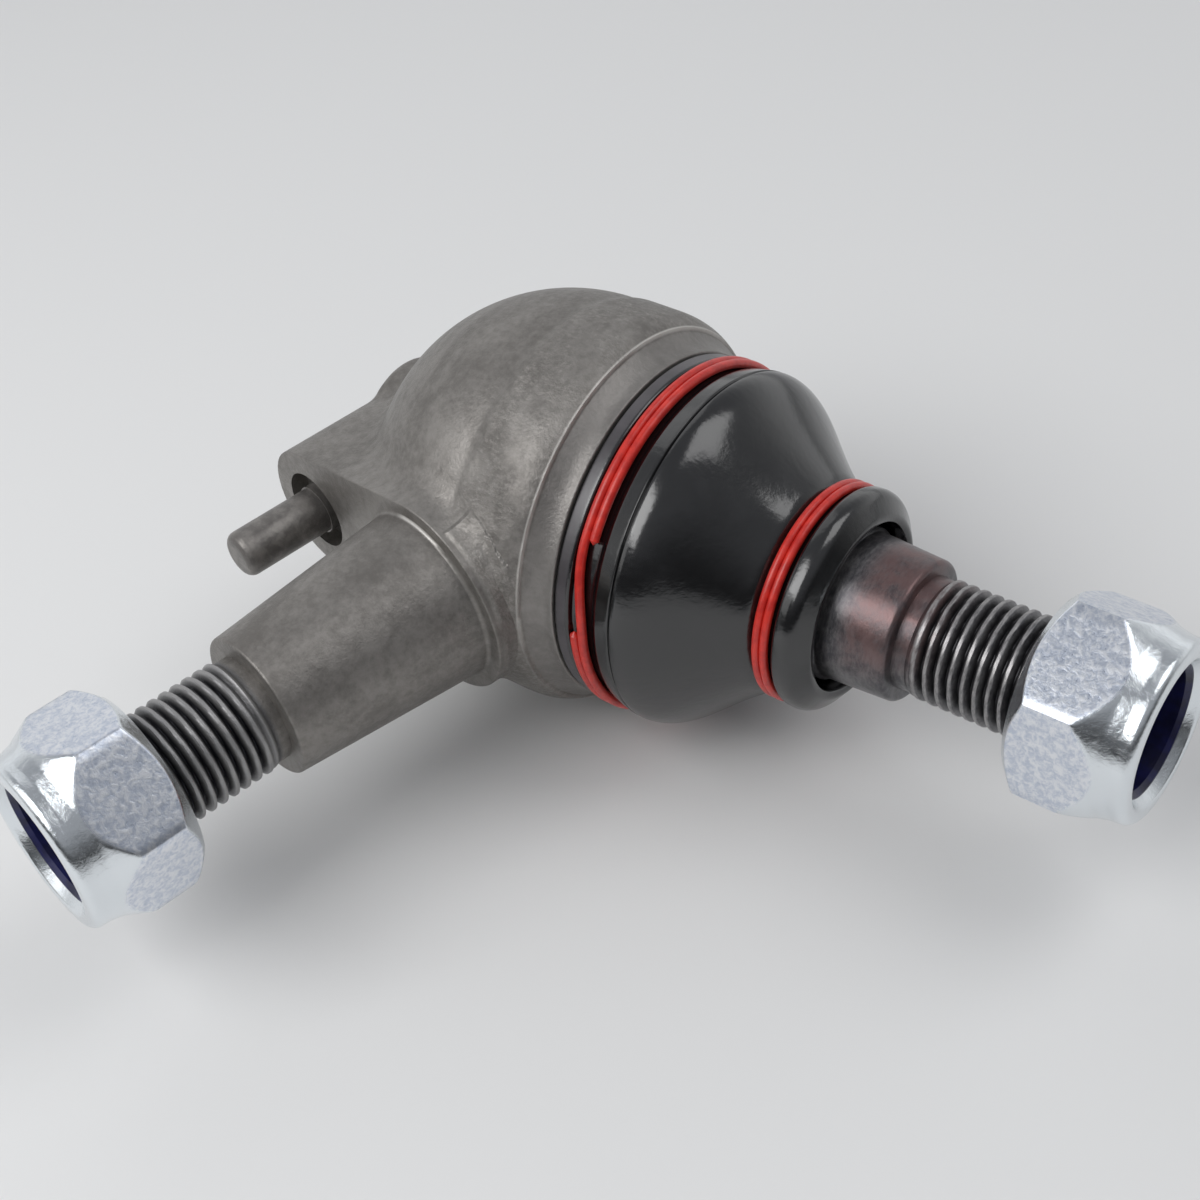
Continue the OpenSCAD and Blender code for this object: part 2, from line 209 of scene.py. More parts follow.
# A node tree that starts with a Principled shader and Object coordinates in millimetres
def newFinish(name, **sockets):
    material = bpy.data.materials.new(name)
    material.use_nodes = True
    tree = material.node_tree
    shader = tree.nodes["Principled BSDF"]
    for socket, value in sockets.items():
        shader.inputs[socket.replace("_", " ")].default_value = value
    place = tree.nodes.new("ShaderNodeTexCoord")
    scale = tree.nodes.new("ShaderNodeMapping")
    scale.inputs["Scale"].default_value = (1000, 1000, 1000)
    tree.links.new(place.outputs["Object"], scale.inputs["Vector"])
    return material, tree, shader, scale.outputs["Vector"]


def noise(tree, vector, scale, detail=4, roughness=0.55, distortion=0):
    node = tree.nodes.new("ShaderNodeTexNoise")
    node.inputs["Scale"].default_value = scale
    node.inputs["Detail"].default_value = detail
    node.inputs["Roughness"].default_value = roughness
    node.inputs["Distortion"].default_value = distortion
    tree.links.new(vector, node.inputs["Vector"])
    return node.outputs["Fac"]


# Coordinates times a scale for each axis
def stretched(tree, vector, scale):
    node = tree.nodes.new("ShaderNodeMapping")
    node.inputs["Scale"].default_value = scale
    tree.links.new(vector, node.inputs["Vector"])
    return node.outputs["Vector"]


# One arithmetic step between sockets or plain numbers
def calc(tree, operation, a, b=0.0, c=0.0):
    node = tree.nodes.new("ShaderNodeMath")
    node.operation = operation
    for socket, value in zip(node.inputs, (a, b, c)):
        if isinstance(value, (int, float)):
            socket.default_value = value
        else:
            tree.links.new(value, socket)
    return node.outputs[0]


# Product of several sockets or plain numbers
def product(tree, first, *others):
    for other in others:
        first = calc(tree, "MULTIPLY", first, other)
    return first


# Distance from an axis: sqrt(a^2 + b^2) of the two parts square to it
def axisDistance(tree, a, b):
    return calc(tree, "SQRT", calc(tree, "ADD", product(tree, a, a), product(tree, b, b)))


# A value spread smoothly from the range low..high to the range start..end
def ramp(tree, value, low, high, start=0.0, end=1.0):
    node = tree.nodes.new("ShaderNodeMapRange")
    node.interpolation_type = "SMOOTHSTEP"
    for socket, number in zip(("From Min", "From Max", "To Min", "To Max"), (low, high, start, end)):
        node.inputs[socket].default_value = number
    tree.links.new(value, node.inputs["Value"])
    return node.outputs["Result"]


# The first colour where the share is 0, the second where it is 1
def mixed(tree, share, first, second):
    node = tree.nodes.new("ShaderNodeMix")
    node.data_type = "RGBA"
    tree.links.new(share, node.inputs["Factor"])
    for socket, value in ((node.inputs[6], first), (node.inputs[7], second)):
        if isinstance(value, tuple):
            socket.default_value = (*value, 1)
        else:
            tree.links.new(value, socket)
    return node.outputs[2]


def bumped(tree, shader, height, distance, strength=1.0):
    node = tree.nodes.new("ShaderNodeBump")
    node.inputs["Distance"].default_value = distance * mm
    node.inputs["Strength"].default_value = strength
    tree.links.new(height, node.inputs["Height"])
    tree.links.new(node.outputs["Normal"], shader.inputs["Normal"])


# How far a point lies along a direction: their dot product
def axisPart(tree, vector, axis):
    node = tree.nodes.new("ShaderNodeVectorMath")
    node.operation = "DOT_PRODUCT"
    tree.links.new(vector, node.inputs[0])
    node.inputs[1].default_value = tuple(axis)
    return node.outputs["Value"]


# The x, y and z sockets of a vector
def parts(tree, vector):
    node = tree.nodes.new("ShaderNodeSeparateXYZ")
    tree.links.new(vector, node.inputs["Vector"])
    return node.outputs[:3]


# How far a point lies from the ball's centre
def centreDistance(tree, vector):
    node = tree.nodes.new("ShaderNodeVectorMath")
    node.operation = "LENGTH"
    tree.links.new(vector, node.inputs[0])
    return node.outputs["Value"]


# Blasted forging: satin warm grey with a fine grain and faint clouds. The trimmed belt is coarser where x is
# between bandBack and bandFront, its front edge carries a painted highlight, brighter towards the upper side, and the
# turned shoulder in front is smoother.
# A low collar of flash stands around the shank's root where the distance from the shank's axis is below
# collarRadius, on the side away from the pin, and the foot of the taper, at footRadius, is a painted highlight line.
# The shank's thread has painted highlights on its crests and painted shade in its grooves
forging = {
    "light": (0.285, 0.270, 0.253),
    "dark": (0.175, 0.164, 0.152),
    "band": (0.40, 0.38, 0.355),
    "shoulder": (0.270, 0.258, 0.250),
    # edge: the painted highlight colour of the belt's front edge and of the taper's foot
    "edge": (0.58, 0.56, 0.53),
    "grain": 2.4,
    "bandBack": -1.0,
    "bandFront": joint["beltFront"],
    "bandRadius": 23.0,
    "bandReach": 26.5,  # the masks of belt, shoulder and flash end at this distance from the ball's centre
    "threadFrom": 50.4,
    "thread": (0.16, 0.158, 0.160),
    # crest is a painted highlight on the thread's crests; the colour after it is painted shade in the thread's grooves
    "crest": (0.33, 0.325, 0.325),
    "grooveShade": (0.018, 0.018, 0.022),
    "collarRadius": 14.6,
    "footRadius": 11.15,
}


def forgingFinish():
    f = forging
    material, tree, shader, vector = newFinish("forgedSteelFinish", Metallic=0.72, Roughness=0.45)
    x, y, z = parts(tree, vector)
    along, across, sideways = (axisPart(tree, vector, axis) for axis in shankAxis)
    studRadius, shankRadius = axisDistance(tree, y, z), axisDistance(tree, across, sideways)
    onDome = ramp(tree, centreDistance(tree, vector), f["bandReach"] + 0.8, f["bandReach"])

    grain = noise(tree, vector, f["grain"], 5, 0.62)
    cloud = noise(tree, stretched(tree, vector, (1.0, 0.6, 1.0)), 0.11, 6, 0.62, 0.8)
    fine = noise(tree, vector, 0.9, 4, 0.7)
    coarse = noise(tree, stretched(tree, vector, (1.0, 1.5, 1.5)), 1.3, 6, 0.75)
    tone = calc(tree, "ADD", product(tree, cloud, 0.6), product(tree, fine, 0.4))
    colour = mixed(tree, ramp(tree, tone, 0.36, 0.64), f["dark"], f["light"])

    uneven = calc(tree, "ADD", x, calc(tree, "MULTIPLY_ADD", cloud, 5.0, -2.5))
    inBand = product(tree, onDome, ramp(tree, uneven, f["bandBack"], f["bandBack"] + 1.5),
                     ramp(tree, x, f["bandFront"] + 0.2, f["bandFront"]),
                     ramp(tree, studRadius, f["bandRadius"], f["bandRadius"] + 0.6))
    patches = product(tree, inBand, ramp(tree, noise(tree, vector, 0.16, 3, 0.5), 0.34, 0.60))
    colour = mixed(tree, product(tree, patches, ramp(tree, coarse, 0.44, 0.72, 0.0, 0.8)), colour, f["band"])

    shoulder = product(tree, ramp(tree, x, f["bandFront"], f["bandFront"] + 0.5), onDome, 0.35)
    colour = mixed(tree, shoulder, colour, f["shoulder"])

    # Painted highlight along the belt's front edge, stronger towards the upper side
    upperSide = ramp(tree, calc(tree, "SUBTRACT", z, product(tree, y, 0.3)), 2.0, 16.0, 0.15, 0.9)
    paintedEdgeHighlight = product(tree, onDome, upperSide, ramp(tree, x, f["bandFront"] - 0.26, f["bandFront"] - 0.1),
                     ramp(tree, x, f["bandFront"] + 0.14, f["bandFront"] + 0.02))
    # Painted highlight: a bright line round the taper's foot, strongest in the sector where light is caught
    fromFoot = calc(tree, "ABSOLUTE", calc(tree, "SUBTRACT", shankRadius, f["footRadius"]))
    fromFace = calc(tree, "ABSOLUTE", calc(tree, "SUBTRACT", along, joint["faceAt"]))
    caught = calc(tree, "MULTIPLY_ADD", ramp(tree, sideways, 9.6, 10.6), ramp(tree, across, -3.4, -1.4), 0.08)
    foot = product(tree, ramp(tree, fromFoot, 0.24, 0.08), ramp(tree, fromFace, 0.6, 0.3), caught)
    colour = mixed(tree, calc(tree, "MAXIMUM", paintedEdgeHighlight, foot), colour, f["edge"])

    ragged = calc(tree, "ADD", shankRadius, product(tree, cloud, 2.4))
    awayFromPin = calc(tree, "SUBTRACT", across, product(tree, sideways, 0.42))
    flash = product(tree, onDome, ramp(tree, ragged, f["collarRadius"] + 1.5, f["collarRadius"] + 1.1),
                    ramp(tree, awayFromPin, -0.4, 0.1), ramp(tree, sideways, -2.0, 1.0),
                    ramp(tree, x, f["bandFront"] - 0.6, f["bandFront"] - 1.6))
    colour = mixed(tree, product(tree, flash, ramp(tree, coarse, 0.40, 0.70, 0.1, 0.7)), colour, f["band"])

    # Shank thread: painted highlight on the crests, painted shade in the grooves
    land = mixed(tree, ramp(tree, shankRadius, 6.60, 6.95), f["thread"], f["crest"])
    land = mixed(tree, ramp(tree, shankRadius, 6.70, 6.20), land, f["grooveShade"])
    colour = mixed(tree, ramp(tree, along, f["threadFrom"], f["threadFrom"] + 0.6), colour, land)
    tree.links.new(colour, shader.inputs["Base Color"])
    tree.links.new(calc(tree, "MULTIPLY_ADD", grain, 0.24, 0.33), shader.inputs["Roughness"])
    height = calc(tree, "ADD", product(tree, grain, 0.35), product(tree, coarse, patches, 1.2))
    bumped(tree, shader, calc(tree, "MULTIPLY_ADD", flash, 1.6, height), 0.2)
    return material


# Pin: the forging's grey in small blotches
pinSteel = {"light": (0.25, 0.235, 0.22), "dark": (0.15, 0.14, 0.132)}


def pinFinish():
    material, tree, shader, vector = newFinish("pinSteelFinish", Metallic=0.55, Roughness=0.4)
    blotch = noise(tree, vector, 0.5, 5, 0.6)
    tree.links.new(mixed(tree, ramp(tree, blotch, 0.38, 0.66), pinSteel["dark"], pinSteel["light"]),
                   shader.inputs["Base Color"])
    tree.links.new(calc(tree, "MULTIPLY_ADD", blotch, 0.3, 0.25), shader.inputs["Roughness"])
    bumped(tree, shader, noise(tree, vector, 2.5, 4), 0.05)
    return material


# Glossy black rubber: near black with a fine orange-peel skin and faint dull smears; the lip against the
# housing is duller and carries a painted grey sheen where x is between lipStart and lipEnd
rubber = {
    "colour": (0.004, 0.004, 0.0045),
    "smear": (0.010, 0.010, 0.011),
    # painted grey sheen of the lip band
    "lip": (0.060, 0.053, 0.060),
    "lipStart": 12.5,
    "lipEnd": 14.25,
}


def rubberFinish():
    material, tree, shader, vector = newFinish("bootRubberFinish", Roughness=0.22, Specular_IOR_Level=1.0)
    smear = noise(tree, stretched(tree, vector, (0.5, 1.2, 1.2)), 0.16, 5, 0.62, 0.6)
    fine = noise(tree, vector, 1.4, 4, 0.55)
    colour = mixed(tree, ramp(tree, smear, 0.45, 0.75), rubber["colour"], rubber["smear"])
    x = parts(tree, vector)[0]
    # Lip band: painted grey sheen in the colour, and a duller roughness
    lip = product(tree, ramp(tree, x, rubber["lipEnd"], rubber["lipEnd"] - 0.5),
                  ramp(tree, x, rubber["lipStart"], rubber["lipStart"] + 0.4))
    colour = mixed(tree, product(tree, lip, ramp(tree, smear, 0.30, 0.60, 0.55, 1.0)), colour, rubber["lip"])
    tree.links.new(colour, shader.inputs["Base Color"])
    dull = calc(tree, "MULTIPLY_ADD", smear, 0.20, 0.07)
    tree.links.new(calc(tree, "MULTIPLY_ADD", lip, 0.2, dull), shader.inputs["Roughness"])
    bumped(tree, shader, calc(tree, "MULTIPLY_ADD", fine, 0.3, smear), 0.06)
    return material


# Red coated wire: satin, slightly deeper where the coat is thin
redWire = {"colour": (0.66, 0.030, 0.018), "deep": (0.50, 0.016, 0.011)}


def redFinish():
    material, tree, shader, vector = newFinish("redWireFinish", Roughness=0.36, Coat_Weight=0.2, Coat_Roughness=0.25)
    uneven = noise(tree, vector, 0.6, 4, 0.6)
    tree.links.new(mixed(tree, ramp(tree, uneven, 0.35, 0.65), redWire["deep"], redWire["colour"]),
                   shader.inputs["Base Color"])
    bumped(tree, shader, noise(tree, vector, 2.0, 3), 0.03)
    return material


# Oiled dark steel of the stud: its thread grooves are painted near black as shade where the radius is below
# grooveRadius, its crests carry a painted highlight, and a faint red blush lies on the upper side where x is between
# blushFrom and blushTo
studSteel = {
    "light": (0.21, 0.204, 0.207),
    "dark": (0.072, 0.070, 0.077),
    "grooveShade": (0.014, 0.014, 0.016),
    "crest": (0.36, 0.35, 0.35),
    "blush": (0.165, 0.095, 0.092),
    "blushFrom": 40.5,
    "blushTo": 54.5,
    "threadFrom": 48.5,
    "grooveRadius": 6.46,
}


def studFinish():
    t = studSteel
    material, tree, shader, vector = newFinish("studSteelFinish", Metallic=0.7, Roughness=0.36)
    x, y, z = parts(tree, vector)
    radius = axisDistance(tree, y, z)
    cloud = noise(tree, vector, 0.30, 6, 0.7, 0.4)
    scratch = noise(tree, stretched(tree, vector, (2.2, 0.7, 0.7)), 1.2, 5, 0.7)
    tone = calc(tree, "ADD", product(tree, cloud, 0.55), product(tree, scratch, 0.45))
    colour = mixed(tree, ramp(tree, tone, 0.36, 0.66), t["dark"], t["light"])

    upperSide = calc(tree, "ADD", product(tree, z, 0.8), product(tree, y, -0.25))
    blush = product(tree, ramp(tree, x, t["blushFrom"], t["blushFrom"] + 3),
                    ramp(tree, x, t["blushTo"], t["blushTo"] - 6), ramp(tree, upperSide, 0.0, 5.5),
                    ramp(tree, cloud, 0.34, 0.60, 0.25, 0.85))
    colour = mixed(tree, blush, colour, t["blush"])

    threaded = ramp(tree, x, t["threadFrom"], t["threadFrom"] + 1)
    # Painted highlight on the thread's crests
    crest = product(tree, threaded, ramp(tree, radius, 6.86, 6.97), ramp(tree, scratch, 0.35, 0.65, 0.3, 1.0))
    colour = mixed(tree, crest, colour, t["crest"])
    # Painted shade: the thread's grooves darkened to near black
    paintedGrooveShade = product(tree, threaded, ramp(tree, radius, t["grooveRadius"] + 0.3, t["grooveRadius"] - 0.3), 0.95)
    colour = mixed(tree, paintedGrooveShade, colour, t["grooveShade"])
    tree.links.new(colour, shader.inputs["Base Color"])
    tree.links.new(calc(tree, "MULTIPLY_ADD", scratch, 0.34, 0.18), shader.inputs["Roughness"])
    bumped(tree, shader, tone, 0.08)
    return material


# Zinc plate: bright and smooth on turned surfaces, mottled and duller on the flats,
# told apart by the mesh's own attribute turned, 0 on a flat and 1 elsewhere
zinc = {
    "bright": (0.80, 0.84, 0.87),
    "flatLight": (0.84, 0.86, 0.90),
    "flatDark": (0.58, 0.63, 0.73),
}


def zincFinish():
    material, tree, shader, vector = newFinish("zincFinish", Metallic=1.0, Roughness=0.22)
    turned = tree.nodes.new("ShaderNodeAttribute")
    turned.attribute_name = "turned"
    mottle = noise(tree, vector, 1.15, 6, 0.72, 0.5)
    specks = noise(tree, vector, 2.8, 4, 0.6)
    pattern = calc(tree, "ADD", product(tree, mottle, 0.75), product(tree, specks, 0.25))
    flat = mixed(tree, ramp(tree, pattern, 0.40, 0.60), zinc["flatDark"], zinc["flatLight"])
    lathed = turned.outputs["Fac"]
    tree.links.new(mixed(tree, lathed, flat, zinc["bright"]), shader.inputs["Base Color"])
    dull = product(tree, calc(tree, "MULTIPLY_ADD", pattern, 0.3, 0.16), calc(tree, "SUBTRACT", 1.0, lathed))
    gloss = product(tree, calc(tree, "MULTIPLY_ADD", specks, 0.10, 0.08), lathed)
    tree.links.new(calc(tree, "ADD", dull, gloss), shader.inputs["Roughness"])
    bumped(tree, shader, pattern, 0.06)
    return material


# Dark blue nylon with faint clouds
nylon = {"colour": (0.006, 0.007, 0.075), "deep": (0.003, 0.003, 0.035)}


def nylonFinish():
    material, tree, shader, vector = newFinish("insertNylonFinish", Roughness=0.38)
    cloud = noise(tree, vector, 0.5, 3)
    tree.links.new(mixed(tree, ramp(tree, cloud, 0.35, 0.65), nylon["deep"], nylon["colour"]),
                   shader.inputs["Base Color"])
    bumped(tree, shader, noise(tree, vector, 1.6, 3), 0.04)
    return material


# Ivory polymer of the hidden seat
seatPolymer = {"light": (0.86, 0.84, 0.75), "dark": (0.72, 0.69, 0.58)}


def polymerFinish():
    material, tree, shader, vector = newFinish("seatPolymerFinish", Roughness=0.45)
    cloud = noise(tree, vector, 0.3, 4)
    tree.links.new(mixed(tree, cloud, seatPolymer["dark"], seatPolymer["light"]), shader.inputs["Base Color"])
    bumped(tree, shader, noise(tree, vector, 1.5, 3), 0.03)
    return material


# Turned steel of the hidden retaining ring, with fine lines around its axis
ringSteel = {"light": (0.58, 0.58, 0.60), "dark": (0.38, 0.38, 0.39)}


def ringFinish():
    material, tree, shader, vector = newFinish("ringSteelFinish", Metallic=0.9, Roughness=0.35)
    lines = noise(tree, stretched(tree, vector, (6, 0.4, 0.4)), 1.0, 3)
    tree.links.new(mixed(tree, lines, ringSteel["dark"], ringSteel["light"]), shader.inputs["Base Color"])
    bumped(tree, shader, lines, 0.03)
    return material


finishes = {
    "forged_steel": forgingFinish(),
    "pin_steel": pinFinish(),
    "seat_polymer": polymerFinish(),
    "ring_steel": ringFinish(),
    "red_wire": redFinish(),
    "boot_rubber": rubberFinish(),
    "stud_steel": studFinish(),
    "insert_nylon": nylonFinish(),
    "plated_steel": zincFinish(),
}
print("finishes made")


# Housing: turned body about the stud's axis, and the forged shank with its lug about the shank's axis

housing = {
    "domeRadius": 24.5,
    "domeBack": 2.0,
    "padRadius": 8.8,
    "padEdge": 1.2,
    "padTop": -29.5,
    "padFoot": -26.0,
    "beltBack": -1.2,
    "beltRadius": 24.8,
    "beltFlatEnd": 4.2,
    "beltFront": joint["beltFront"],
    "edgeRadius": 23.7,
    "rimRadius": 21.8,
    "rimFront": 12.2,
    "grooveRadius": 19.4,
    "mouthEnd": 18.0,
    "mouthRadius": 16.6,
    "cavityRadius": 17.5,
    "cavityEnd": 12.62,
    "rootRadius": 12.9,
    "faceAt": joint["faceAt"],
    "faceEdge": 0.2,
    "lugOffset": 23.0,
    "lugRadius": 8.2,
    "lugStart": -3.2,
    "lugBack": 4.0,  # the lug is round behind this place
    "recessRadius": 5.2,
    "recessDepth": 2.4,
    "taperStart": 10.8,
    "taperEnd": 8.91,
    "taperEndAt": 49.5,
    "flare": 0.5,
    "reliefInner": 6.0,
    "threadStart": 51.1,
    "shankEnd": 72.5,
    "blend": 2.2,  # reach of the round valley between dome and shank
    "bodyColumns": 208,
    "shankColumns": 192,
    "sideRows": 51,
    "edgeRows": 6,
    "faceRows": 15,
}


# Distance from the body: behind the belt sqrt((x + back)^2 + r^2) - R, else r - R(x); the pad is a
# cylinder with a round edge: |outside of (top, side)| + min(max(top, side), 0) - edge
def bodyDistance(p):
    h = housing
    x, r = p[..., 0], np.hypot(p[..., 1], p[..., 2])
    dome = np.hypot(x + h["domeBack"], r) - h["domeRadius"]
    stations = [-h["domeBack"], h["beltBack"], h["beltBack"] + 1.2, h["beltFlatEnd"], 6.0, 7.5, h["beltFront"]]
    radii = [h["domeRadius"], h["domeRadius"], h["beltRadius"], h["beltRadius"], h["beltRadius"] - 0.1,
             h["beltRadius"] - 0.45, h["edgeRadius"]]
    body = np.maximum(np.where(x < -h["domeBack"], dome, r - np.interp(x, stations, radii)), x - h["beltFront"])
    top, side = h["padTop"] + h["padEdge"] - x, r - h["padRadius"] + h["padEdge"]
    pad = np.hypot(np.maximum(top, 0), np.maximum(side, 0)) + np.minimum(np.maximum(top, side), 0) - h["padEdge"]
    return softUnion(body, pad, 2.0)


# Reach of the hull of two circles from the root's centre, at angle psi from the lug: the small circle
# d cos(psi) + sqrt(r^2 - (d sin(psi))^2), the tangent R / cos(beta - psi), or R, with cos(beta) = (R - r) / d
def hullReach(psi, along):
    h = housing
    d, big = h["lugOffset"], h["rootRadius"]
    small = np.sqrt(np.maximum(h["lugRadius"] ** 2 - np.maximum(h["lugBack"] - along, 0) ** 2, 0.01))
    psi = np.abs((psi + np.pi) % (2 * np.pi) - np.pi)
    beta = np.arccos((big - small) / d)
    touch = np.arctan2(small * np.sin(beta), d + small * np.cos(beta))
    tip = d * np.cos(psi) + np.sqrt(np.maximum(small**2 - (d * np.sin(psi)) ** 2, 0))
    side = big / np.maximum(np.cos(beta - psi), 0.2)
    return np.where(psi < touch, tip, np.where(psi < beta, side, big))


# Distance from root and lug: the larger of (radius - hullReach) * 0.94, along - face and start - along
def shankDistance(p):
    along, across, up = (p @ axis for axis in shankAxis)
    psi = np.arctan2(up, -across)
    side = (np.hypot(across, up) - hullReach(psi, along)) * 0.94
    return np.maximum(side, np.maximum(along - housing["faceAt"], housing["lugStart"] - 0.3 - along))


# Reach of the valley, which narrows towards the belt's front edge and the pad, so that both stay crisp
def valleyReach(p):
    h, x = housing, p[..., 0]
    return h["blend"] * (1 - 0.9 * smooth(x, 2.5, h["beltFront"] - 1.5)) * (1 - 0.75 * smooth(-x, 24.5, 27.5))


# Union of two distances with a round valley: min(a, b) - h^2 k / 4, h = max(k - |a - b|, 0) / k
def softUnion(a, b, k):
    h = np.maximum(k - np.abs(a - b), 0) / k
    return np.minimum(a, b) - h * h * k / 4


# Moves the points of one shell onto the soft union with the other, along its gradient. Where the other
# shell leads, they dip just under it, and points deeper inside it than the valley's reach stay
def blended(points, own, other):
    start, inside, k = own(points), other(points), valleyReach(points)
    near = (inside > -k) & (inside < k)
    p, level, k = points[near], start[near], k[near]
    for _ in range(6):
        a, b = own(p), other(p)
        miss = softUnion(a, b, k) - level + 0.12 * smooth(a - b, 0, 0.8 * k)
        steps = 0.01 * np.eye(3)
        gradient = np.stack([softUnion(own(p + e), other(p + e), k) - softUnion(own(p - e), other(p - e), k)
                             for e in steps], -1) / 0.02
        p = p - (miss / np.maximum((gradient**2).sum(-1), 0.25))[..., None] * gradient
    moved = points.copy()
    moved[near] = p
    return moved


# Cubic curve from p to q with handles a and b: (1-t)^3 p + 3 (1-t)^2 t a + 3 (1-t) t^2 b + t^3 q
def cubic(p, a, b, q, count):
    t = np.linspace(0, 1, count)[:, None]
    p, a, b, q = (np.array(v, float) for v in (p, a, b, q))
    return (1 - t) ** 3 * p + 3 * (1 - t) ** 2 * t * a + 3 * (1 - t) * t * t * b + t**3 * q


# Room for seat and ring: a bore with a round bottom, (R cos(a), R sin(a)) for a from 90 to 180 degrees
def cavityOutline(room=0.0):
    h = housing
    radius = h["cavityRadius"] + room
    bottom = np.radians(np.linspace(90, 179, 20))
    return np.vstack([[(h["cavityEnd"] + room, radius)], radius * np.stack([np.cos(bottom), np.sin(bottom)], 1)])


# Pad, dome, belt, shoulder, mouth and cavity as one surface of revolution, whose outside is blended with the shank
def turnedBody():
    h = housing
    sweep = np.radians(np.linspace(155, 92, 70))
    dome = np.stack([-h["domeBack"] + h["domeRadius"] * np.cos(sweep), h["domeRadius"] * np.sin(sweep)], 1)
    pad = roundedOutline([(h["padTop"], 0.3), (h["padTop"], h["padRadius"], h["padEdge"]),
                          (h["padFoot"], h["padRadius"] + 0.1, 2.4), tuple(dome[0])], 0.5)
    belt = roundedOutline([tuple(dome[-1]), (h["beltBack"], h["domeRadius"], 3),
                           (h["beltBack"] + 1.2, h["beltRadius"], 3), (h["beltFlatEnd"], h["beltRadius"])], 0.45)
    edge = h["beltFront"]
    fall = cubic((h["beltFlatEnd"], h["beltRadius"]), (edge - 3, h["beltRadius"]), (edge - 1.4, h["beltRadius"] - 0.15),
                 (edge, h["edgeRadius"]), 14)
    shoulder = cubic((edge + 0.12, h["edgeRadius"] - 0.45), (edge + 0.9, h["rimRadius"] + 0.9),
                     (edge + 1.9, h["rimRadius"] + 0.05), (h["rimFront"] - 0.4, h["rimRadius"]), 16)
    mouth = roundedOutline([
        (h["rimFront"] - 0.4, h["rimRadius"]), (h["rimFront"], h["rimRadius"] - 0.02, 0.3),
        (h["rimFront"], h["grooveRadius"]), (h["rimFront"] + 4.4, h["grooveRadius"]),
        (h["rimFront"] + 4.7, h["grooveRadius"] + 0.8), (h["mouthEnd"], h["grooveRadius"] + 0.8, 0.4),
        (h["mouthEnd"], h["mouthRadius"])], 0.45)
    throat = [(h["mouthEnd"], h["mouthRadius"]), (h["cavityEnd"], h["mouthRadius"])]
    hidden = spaced(np.vstack([throat, cavityOutline()]), 1.6)
    outside = np.vstack([pad, dome[1:-1], belt, fall[1:]])
    rows = revolved(np.vstack([outside, shoulder, mouth[1:], hidden[1:]]), studAxis, h["bodyColumns"])
    count = len(outside) - 1
    points = blended(rows[:count].reshape(-1, 3), bodyDistance, shankDistance)
    beyond = np.maximum(points @ shankAxis[0] - (h["faceAt"] - 0.03), 0)
    rows[:count] = (points - beyond[:, None] * shankAxis[0]).reshape(count, -1, 3)
    return shell(rows)


# Side rows at radius hullReach(psi) and the milled face, whose rows go from that outline to the taper's circle
def forgedShank():
    h = housing
    psi = np.linspace(0, 2 * np.pi, h["shankColumns"], endpoint=False)
    edge, bend = h["faceEdge"], np.linspace(0, np.pi / 2, h["edgeRows"])
    side = np.concatenate([np.linspace(h["lugStart"], h["faceAt"] - edge, h["sideRows"] + 1)[:-1],
                           h["faceAt"] - edge + edge * np.sin(bend)])
    inset = np.concatenate([np.zeros(h["sideRows"]), edge * (1 - np.cos(bend))])
    reach = hullReach(psi[None], side[:, None]) - inset[:, None]
    footRadius = h["rootRadius"] - edge
    share = np.linspace(0, 1, h["faceRows"] + 1)[1:, None]
    face = reach[-1:] * (1 - share) + footRadius * share
    taper = roundedOutline([(h["faceAt"], footRadius + 0.3), (h["faceAt"], h["taperStart"] + 0.15, h["flare"]),
                            (h["taperEndAt"], h["taperEnd"], 0.35), (h["taperEndAt"], h["reliefInner"])], 0.6)
    along = np.concatenate([side, np.full(h["faceRows"], h["faceAt"]), taper[1:, 0]])
    radius = np.vstack([reach, face, np.repeat(taper[1:, 1:2], len(psi), 1)])
    spokes = -np.cos(psi)[:, None] * shankAxis[1] + np.sin(psi)[:, None] * shankAxis[2]
    rows = along[:, None, None] * shankAxis[0] + radius[..., None] * spokes
    count = h["sideRows"]
    points = blended(rows[:count].reshape(-1, 3), shankDistance, bodyDistance)
    beyond = np.maximum(points @ shankAxis[0] - h["faceAt"], 0)
    rows[:count] = (points - beyond[:, None] * shankAxis[0]).reshape(count, -1, 3)
    return shell(rows)


# Relief groove as a surface of revolution, then the thread
def shankThread():
    h = housing
    relief = roundedOutline([(h["taperEndAt"] - 1, 5.6), (h["taperEndAt"] - 0.2, joint["reliefRadius"]),
                             (h["threadStart"], joint["reliefRadius"])], 0.3)
    rows = np.vstack([revolved(relief[:-1], shankAxis, joint["threadColumns"]),
                      threadRows(h["threadStart"], h["shankEnd"], shankAxis)])
    return shell(rows)


# The round recess around the pin, cut into the lug's face, and the cavity, cut a little wider than the
# body's own so that its wall covers the cut
def recessed(mesh):
    h = housing
    recess = revolved(np.array([[h["faceAt"] - h["recessDepth"], h["recessRadius"]],
                                [h["faceAt"] + 3, h["recessRadius"]]]), shankAxis, 96) - h["lugOffset"] * shankAxis[1]
    room = revolved(np.vstack([[(h["cavityEnd"] + 0.4, 0.3)], cavityOutline(0.4)]), studAxis, 96)
    blank, tool = addObject("blank", mesh), addObject("tool", makeMesh("tool", [shell(recess), shell(room)]))
    cut = blank.modifiers.new("recess", "BOOLEAN")
    cut.object, cut.operation, cut.solver = tool, "DIFFERENCE", "EXACT"
    bpy.context.view_layer.update()
    carved = bpy.data.meshes.new_from_object(blank.evaluated_get(bpy.context.evaluated_depsgraph_get()))
    for thing in (blank, tool):
        bpy.data.objects.remove(thing)
    return carved


